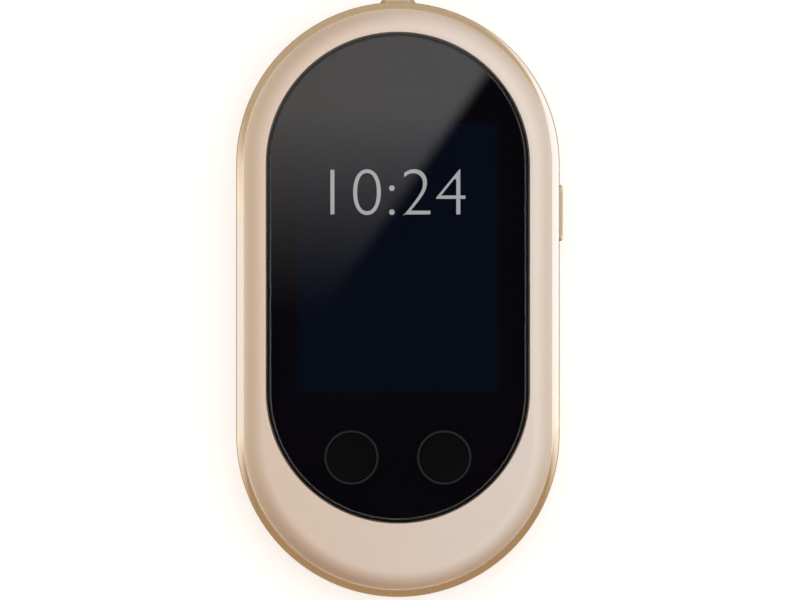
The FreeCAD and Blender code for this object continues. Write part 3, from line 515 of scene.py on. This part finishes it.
def net_group():
    """Node group that weaves a level net: each thread passes over and under the ones it crosses."""
    group = bpy.data.node_groups.new("woven_net", "GeometryNodeTree")
    for name, kind in NET_INPUTS.items():
        group.interface.new_socket(name=name, in_out="INPUT", socket_type=kind)
    group.interface.new_socket(name="Net", in_out="OUTPUT", socket_type="NodeSocketGeometry")
    given = add(group, "NodeGroupInput").outputs
    sizes = {
        "Size X": given["Length"],
        "Size Y": given["Width"],
        "Vertices X": given["Columns"],
        "Vertices Y": given["Rows"],
    }
    crossings = add(group, "GeometryNodeMeshGrid", sizes).outputs["Mesh"]
    index = add(group, "GeometryNodeInputIndex").outputs["Index"]
    turns = add(group, "ShaderNodeMath", {0: index, 1: given["Rows"]}, operation="DIVIDE")
    column = add(group, "ShaderNodeMath", {0: turns.outputs[0]}, operation="FLOOR")
    row = add(group, "ShaderNodeMath", {0: index, 1: given["Rows"]}, operation="MODULO")
    both = add(group, "ShaderNodeMath", {0: column.outputs[0], 1: row.outputs[0]}, operation="ADD")
    odd = add(group, "ShaderNodeMath", {0: both.outputs[0]}, operation="MODULO")
    odd.inputs[1].default_value = 2.0
    over_under = add(group, "ShaderNodeMapRange", {"Value": odd.outputs[0]}, To_Min=1.0, To_Max=-1.0)
    lift = add(
        group,
        "ShaderNodeMath",
        {0: over_under.outputs["Result"], 1: given["Thread Radius"]},
        operation="MULTIPLY",
    )
    profile = add(group, "GeometryNodeCurvePrimitiveCircle", {"Radius": given["Thread Radius"]})
    profile.inputs["Resolution"].default_value = THREAD_SIDES
    ends = add(group, "GeometryNodeInputMeshEdgeVertices").outputs
    span = add(
        group, "ShaderNodeVectorMath", {0: ends["Position 1"], 1: ends["Position 2"]}, operation="SUBTRACT"
    )
    spans = add(group, "ShaderNodeSeparateXYZ", {0: span.outputs[0]}).outputs
    joined = add(group, "GeometryNodeJoinGeometry")
    for axis, side in (("X", 1.0), ("Y", -1.0)):
        height = add(group, "ShaderNodeMath", {0: lift.outputs[0]}, operation="MULTIPLY")
        height.inputs[1].default_value = side
        offset = add(group, "ShaderNodeCombineXYZ", {"Z": height.outputs[0]})
        waved = add(
            group, "GeometryNodeSetPosition", {"Geometry": crossings, "Offset": offset.outputs[0]}
        )
        length = add(group, "ShaderNodeMath", {0: spans[axis]}, operation="ABSOLUTE")
        crosswise = add(
            group,
            "ShaderNodeMath",
            {0: length.outputs[0], 1: given["Thread Radius"]},
            operation="GREATER_THAN",
        )
        threads = add(
            group,
            "GeometryNodeDeleteGeometry",
            {"Geometry": waved.outputs[0], "Selection": crosswise.outputs[0]},
            domain="EDGE",
        )
        route = add(group, "GeometryNodeMeshToCurve", {"Mesh": threads.outputs[0]})
        wire = add(
            group,
            "GeometryNodeCurveToMesh",
            {"Curve": route.outputs[0], "Profile Curve": profile.outputs["Curve"]},
            Fill_Caps=True,
        )
        group.links.new(wire.outputs[0], joined.inputs[0])
    real = add(group, "GeometryNodeRealizeInstances", {"Geometry": joined.outputs[0]})
    smooth = add(group, "GeometryNodeSetShadeSmooth", {"Geometry": real.outputs[0]})
    finish = {"Geometry": smooth.outputs[0], "Material": given["Material"]}
    dressed = add(group, "GeometryNodeSetMaterial", finish)
    add(group, "NodeGroupOutput", {"Net": dressed.outputs[0]})
    return group


def woven_net(node, group, finish):
    """Net of threads that stands for one of the speaker meshes."""
    low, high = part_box(node)
    radius = (high.x - low.x) / NET_THICKNESS
    length = high.y - low.y - 2 * radius
    width = high.z - low.z - 2 * radius
    values = {
        "Length": length,
        "Width": width,
        "Columns": round(length / (THREAD_PITCH * radius)) + 1,
        "Rows": round(width / (THREAD_PITCH * radius)) + 1,
        "Thread Radius": radius,
        "Material": finish,
    }
    maker = bpy.data.objects.new("net_maker", bpy.data.meshes.new("net_maker"))
    modifier = maker.modifiers.new("net", "NODES")
    modifier.node_group = group
    for item in group.interface.items_tree:
        if item.in_out == "INPUT":
            modifier[item.identifier] = values[item.name]
    mesh = plain_mesh(maker)
    upright = Matrix(((0, 0, 1, 0), (1, 0, 0, 0), (0, 1, 0, 0), (0, 0, 0, 1)))
    mesh.transform(Matrix.Translation((low + high) / 2) @ upright)
    piece = shown_piece(f"{node}_woven", mesh, body_of(node))
    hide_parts(node)


def clock():
    """Plain clock digits lit on the display, just behind the glass."""
    text = bpy.data.curves.new("clock_text", "FONT")
    text.body = CLOCK_TEXT
    text.align_x = "CENTER"
    text.align_y = "CENTER"
    text.size = 1.0
    text.offset = CLOCK_THINNING
    mesh = plain_mesh(bpy.data.objects.new("clock_maker", text))
    low = Vector((min(v.co.x for v in mesh.vertices), min(v.co.y for v in mesh.vertices)))
    high = Vector((max(v.co.x for v in mesh.vertices), max(v.co.y for v in mesh.vertices)))
    scale = CLOCK_HEIGHT / (high.y - low.y)
    middle = (low + high) / 2
    z = INK_LOW.z + CLOCK_LEVEL * (INK_HIGH.z - INK_LOW.z)
    place = Matrix.Translation((0, CLOCK_Y, z)) @ Matrix.Scale(scale, 4)
    mesh.transform(place @ Matrix.Translation((-middle.x, -middle.y, 0)))
    bm = bmesh.new()
    bm.from_mesh(mesh)
    bmesh.ops.remove_doubles(bm, verts=bm.verts, dist=CLOCK_WELD)
    made = bmesh.ops.extrude_face_region(bm, geom=bm.faces[:])
    lifted = [v for v in made["geom"] if isinstance(v, bmesh.types.BMVert)]
    bmesh.ops.translate(bm, verts=lifted, vec=(0, 0, CLOCK_DEPTH))
    bmesh.ops.recalc_face_normals(bm, faces=bm.faces[:])
    bm.to_mesh(mesh)
    bm.free()
    material, _, shader = new_material("display_pixels_lit_grey")
    shader.inputs["Base Color"].default_value = linear(CLOCK_TINT)
    shader.inputs["Roughness"].default_value = 0.5
    shader.inputs["Emission Color"].default_value = linear(CLOCK_GLOW)
    shader.inputs["Emission Strength"].default_value = 1.0
    mesh.materials.append(material)
    shown_piece("clock_digits", mesh, "housing")


def rectangle(centre, width, length):
    """Corners of a level rectangle."""
    half = Vector((width / 2, length / 2, 0))
    return [
        centre + Vector((-half.x, -half.y, 0)),
        centre + Vector((half.x, -half.y, 0)),
        centre + Vector((half.x, half.y, 0)),
        centre + Vector((-half.x, half.y, 0)),
    ]


def stadium(r, z):
    """Corners of a level stadium round the casing's spine."""
    corners = []
    for i in range(STADIUM_STEPS):
        turn = 2 * math.pi * (i + 0.5) / STADIUM_STEPS
        end = END_Y if turn < math.pi else -END_Y
        corners.append(Vector((r * math.cos(turn), end + r * math.sin(turn), z)))
    return corners


def stage_plane(name, corners, material):
    """Flat card or floor of the studio."""
    mesh = bpy.data.meshes.new(name)
    mesh.from_pydata(corners, [], [tuple(range(len(corners)))])
    mesh.materials.append(material)
    plane = bpy.data.objects.new(name, mesh)
    bpy.context.scene.collection.objects.link(plane)
    return plane


def reflected_only(plane):
    """Keeps a card out of the picture and out of the light."""
    plane.visible_camera = False
    plane.visible_diffuse = False
    plane.visible_shadow = False


def glow_on_shown_rays(tree, strength):
    """Strength for camera, glossy and transmission rays, and nothing for the rays that light."""
    path = add(tree, "ShaderNodeLightPath")
    shown = path.outputs["Is Camera Ray"]
    for kind in ("Is Glossy Ray", "Is Transmission Ray"):
        either = add(tree, "ShaderNodeMath", {0: shown, 1: path.outputs[kind]}, operation="MAXIMUM")
        shown = either.outputs[0]
    scaled = add(tree, "ShaderNodeMath", {0: shown}, operation="MULTIPLY")
    scaled.inputs[1].default_value = strength
    return scaled.outputs[0]


def studio_floor():
    """Plain pale floor that keeps the shadow and reads as white; from below it is clear."""
    material, tree, shader = new_material("studio_floor")
    shader.inputs["Base Color"].default_value = linear(FLOOR_TINT)
    shader.inputs["Roughness"].default_value = 0.9
    shader.inputs["Specular IOR Level"].default_value = 0.0
    shader.inputs["Emission Color"].default_value = linear("ffffff")
    tree.links.new(glow_on_shown_rays(tree, FLOOR_GLOW), shader.inputs["Emission Strength"])
    from_below = add(tree, "ShaderNodeNewGeometry").outputs["Backfacing"]
    clear = add(tree, "ShaderNodeBsdfTransparent")
    one_way = add(
        tree,
        "ShaderNodeMixShader",
        {0: from_below, 1: shader.outputs["BSDF"], 2: clear.outputs["BSDF"]},
    )
    output = next(node for node in tree.nodes if node.type == "OUTPUT_MATERIAL")
    tree.links.new(one_way.outputs["Shader"], output.inputs["Surface"])
    corners = rectangle(Vector((0, 0, -FLOOR_GAP)), FLOOR_SIZE, FLOOR_SIZE)
    stage_plane("studio_floor", corners, material)


def reflected_card():
    """Soft card high above, seen only as the slanting reflection in the glass."""
    material, tree = bare_material("studio_card")
    place = add(tree, "ShaderNodeTexCoord").outputs["Object"]
    along = (CARD_EDGE_TOP - CARD_EDGE_LOW).normalized()
    across = Vector((-along.y, along.x, 0))
    side = add(tree, "ShaderNodeVectorMath", {0: place}, operation="DOT_PRODUCT")
    side.inputs[1].default_value = across
    offset = CARD_EDGE_LOW.dot(across.to_2d())
    edge = add(
        tree,
        "ShaderNodeMapRange",
        {"Value": side.outputs["Value"]},
        interpolation_type="SMOOTHSTEP",
        From_Min=offset - CARD_SOFTNESS / 2,
        From_Max=offset + CARD_SOFTNESS / 2,
    )
    y = add(tree, "ShaderNodeSeparateXYZ", {0: place}).outputs["Y"]
    rise = add(tree, "ShaderNodeMapRange", {"Value": y}, From_Min=CARD_DARK_Y, From_Max=CARD_FULL_Y)
    fade = add(tree, "ShaderNodeMath", {0: rise.outputs["Result"]}, operation="POWER")
    fade.inputs[1].default_value = CARD_FADE
    shown = add(
        tree, "ShaderNodeMath", {0: edge.outputs["Result"], 1: fade.outputs[0]}, operation="MULTIPLY"
    )
    level = add(tree, "ShaderNodeMath", {0: shown.outputs[0]}, operation="MULTIPLY")
    level.inputs[1].default_value = CARD_BRIGHT
    glow = add(tree, "ShaderNodeEmission", {"Strength": level.outputs[0]})
    add(tree, "ShaderNodeOutputMaterial", {"Surface": glow.outputs["Emission"]})
    middle = (GLASS_LOW + GLASS_HIGH) / 2
    corners = rectangle(Vector((middle.x, middle.y, CARD_HEIGHT)), *CARD_SIZE)
    reflected_only(stage_plane("studio_card", corners, material))


def edge_card(name, x_from, x_to, y_near, y_turned, y_far, near, far, level):
    """Card just above the floor, seen only in reflections; its colour turns along Y."""
    material, tree = bare_material(name)
    place = add(tree, "ShaderNodeTexCoord").outputs["Object"]
    y = add(tree, "ShaderNodeSeparateXYZ", {0: place}).outputs["Y"]
    tint = turning_colour(tree, y, near, far, y_near * MM, y_turned * MM)
    glow = add(tree, "ShaderNodeEmission", {"Color": tint}, Strength=level)
    add(tree, "ShaderNodeOutputMaterial", {"Surface": glow.outputs["Emission"]})
    middle = Vector(((x_from + x_to) / 2, (y_near + y_far) / 2, 0)) * MM
    middle.z = CARD_LIFT
    corners = rectangle(middle, (x_to - x_from) * MM, abs(y_far - y_near) * MM)
    reflected_only(stage_plane(name, corners, material))


def foot_shadow_card():
    """Dark card close round the object: a painted shadow of the floor at its foot, which the outline mirrors
    as a thin dark line.
    """
    material, tree = bare_material("studio_card_foot_shadow")
    # painted shade: a dark glow that stands in for the floor's shadow round the object
    glow = add(tree, "ShaderNodeEmission", Color=linear(FOOT_SHADOW_TINT))
    add(tree, "ShaderNodeOutputMaterial", {"Surface": glow.outputs["Emission"]})
    corners = stadium(SIDE_R + FOOT_REACH, FOOT_LIFT)
    reflected_only(stage_plane("studio_card_foot_shadow", corners, material))


def turning_colour(tree, value, near, far, start, end):
    """Colour that turns from one to the other between two places."""
    share = add(
        tree,
        "ShaderNodeMapRange",
        {"Value": value},
        interpolation_type="SMOOTHSTEP",
        From_Min=start,
        From_Max=end,
    )
    mix = add(tree, "ShaderNodeMix", {"Factor": share.outputs["Result"]}, data_type="RGBA")
    mix.inputs[MIX_A].default_value = linear(near)
    mix.inputs[MIX_B].default_value = linear(far)
    return mix.outputs[MIX_OUT]


def gauze():
    """Gauze above the object, which dims what its left side and its low end reflect."""
    material, tree = bare_material("studio_gauze")
    place = add(tree, "ShaderNodeTexCoord").outputs["Object"]
    parts = add(tree, "ShaderNodeSeparateXYZ", {0: place})
    left = turning_colour(tree, parts.outputs["X"], LEFT_TINT, "ffffff", -SIDE_R, SIDE_R)
    low = turning_colour(tree, parts.outputs["Y"], LOW_TINT, "ffffff", -FRAME_HIGH.y, 0.0)
    both = add(tree, "ShaderNodeVectorMath", {0: left, 1: low}, operation="MULTIPLY")
    clear = add(tree, "ShaderNodeBsdfTransparent", {"Color": both.outputs[0]})
    add(tree, "ShaderNodeOutputMaterial", {"Surface": clear.outputs["BSDF"]})
    corners = rectangle(Vector((0, 0, GAUZE_HEIGHT)), GAUZE_SIZE, GAUZE_SIZE)
    veil = stage_plane("studio_gauze", corners, material)
    reflected_only(veil)
    veil.visible_transmission = False


def scaled_by(tree, colour, level):
    """The colour times a level."""
    return add(tree, "ShaderNodeVectorMath", {0: colour, "Scale": level}, operation="SCALE").outputs[0]


def squared_part(tree, value, way):
    """Square of a component of the direction where it points way, and nothing where it doesn't."""
    turned = add(tree, "ShaderNodeMath", {0: value}, operation="MULTIPLY")
    turned.inputs[1].default_value = way
    kept = add(tree, "ShaderNodeMath", {0: turned.outputs[0]}, operation="MAXIMUM")
    kept.inputs[1].default_value = 0.0
    squared = add(tree, "ShaderNodeMath", {0: kept.outputs[0]}, operation="POWER")
    squared.inputs[1].default_value = 2.0
    return squared.outputs[0]


def studio_world():
    """Soft room: white overhead, warmer and dimmer towards the horizon, shaded on the left."""
    world = bpy.data.worlds.new("studio_world")
    bpy.context.scene.world = world
    world.use_nodes = True
    tree = world.node_tree
    tree.nodes.clear()
    way = add(tree, "ShaderNodeTexCoord").outputs["Generated"]
    parts = add(tree, "ShaderNodeSeparateXYZ", {0: way})
    horizon = None
    total = None
    for axis, sign, weight, colour in (
        ("X", -1, 1.0, LEFT_GLOW),
        ("X", 1, 1.0, RIGHT_GLOW),
        ("Y", 1, TOP_SHARE, TOP_GLOW),
        ("Y", -1, LOW_SHARE, LOW_GLOW),
    ):
        share = squared_part(tree, parts.outputs[axis], sign * math.sqrt(weight))
        tinted = add(tree, "ShaderNodeVectorMath", {"Scale": share}, operation="SCALE")
        tinted.inputs[0].default_value = linear(colour)[:3]
        if horizon is None:
            horizon, total = tinted.outputs[0], share
        else:
            joined = add(tree, "ShaderNodeVectorMath", {0: horizon, 1: tinted.outputs[0]}, operation="ADD")
            horizon = joined.outputs[0]
            total = add(tree, "ShaderNodeMath", {0: total, 1: share}, operation="ADD").outputs[0]
    shares = add(tree, "ShaderNodeMath", {0: total}, operation="MAXIMUM")
    shares.inputs[1].default_value = LEAST_SHARE
    inverse = add(tree, "ShaderNodeMath", {1: shares.outputs[0]}, operation="DIVIDE")
    inverse.inputs[0].default_value = 1.0
    horizon = scaled_by(tree, horizon, inverse.outputs[0])
    tilt = add(tree, "ShaderNodeMath", {0: parts.outputs["Z"]}, operation="ARCCOSINE")
    lowness = add(
        tree, "ShaderNodeMapRange", {"Value": tilt.outputs[0]}, From_Min=0.0, From_Max=math.pi / 2
    )
    upper = add(
        tree, "ShaderNodeMix", {"Factor": lowness.outputs["Result"], MIX_B: horizon}, data_type="RGBA"
    )
    upper.inputs[MIX_A].default_value = (ZENITH_GLOW, ZENITH_GLOW, ZENITH_GLOW, 1.0)
    shade = add(
        tree,
        "ShaderNodeMapRange",
        {"Value": parts.outputs["X"]},
        interpolation_type="SMOOTHSTEP",
        From_Min=SHADE_FROM,
        From_Max=SHADE_TO,
        To_Min=LEFT_SHADE,
        To_Max=1.0,
    )
    room = scaled_by(tree, upper.outputs[MIX_OUT], shade.outputs["Result"])
    path = add(tree, "ShaderNodeLightPath")
    in_picture = path.outputs["Is Camera Ray"]
    seen = add(tree, "ShaderNodeMix", {"Factor": in_picture, MIX_A: room}, data_type="RGBA")
    seen.inputs[MIX_B].default_value = linear("ffffff")
    background = add(tree, "ShaderNodeBackground", {"Color": seen.outputs[MIX_OUT]})
    add(tree, "ShaderNodeOutputWorld", {"Surface": background.outputs[0]})


def camera():
    """Looks straight down on the display, square to it, as the photograph does."""
    data = bpy.data.cameras.new("camera")
    data.type = "ORTHO"
    data.ortho_scale = VIEW_WIDTH
    data.clip_start = CLIP_NEAR
    data.clip_end = CLIP_FAR
    obj = bpy.data.objects.new("camera", data)
    obj.location = (VIEW_SHIFT.x, VIEW_SHIFT.y, CAMERA_HEIGHT)
    bpy.context.scene.collection.objects.link(obj)
    bpy.context.scene.camera = obj


bpy.context.scene.view_settings.view_transform = "Standard"
camera()
studio_world()
studio_floor()
reflected_card()
for card_name, card_values in EDGE_CARDS.items():
    edge_card(card_name, *card_values)
foot_shadow_card()
gauze()
dress_nodes()
clock()
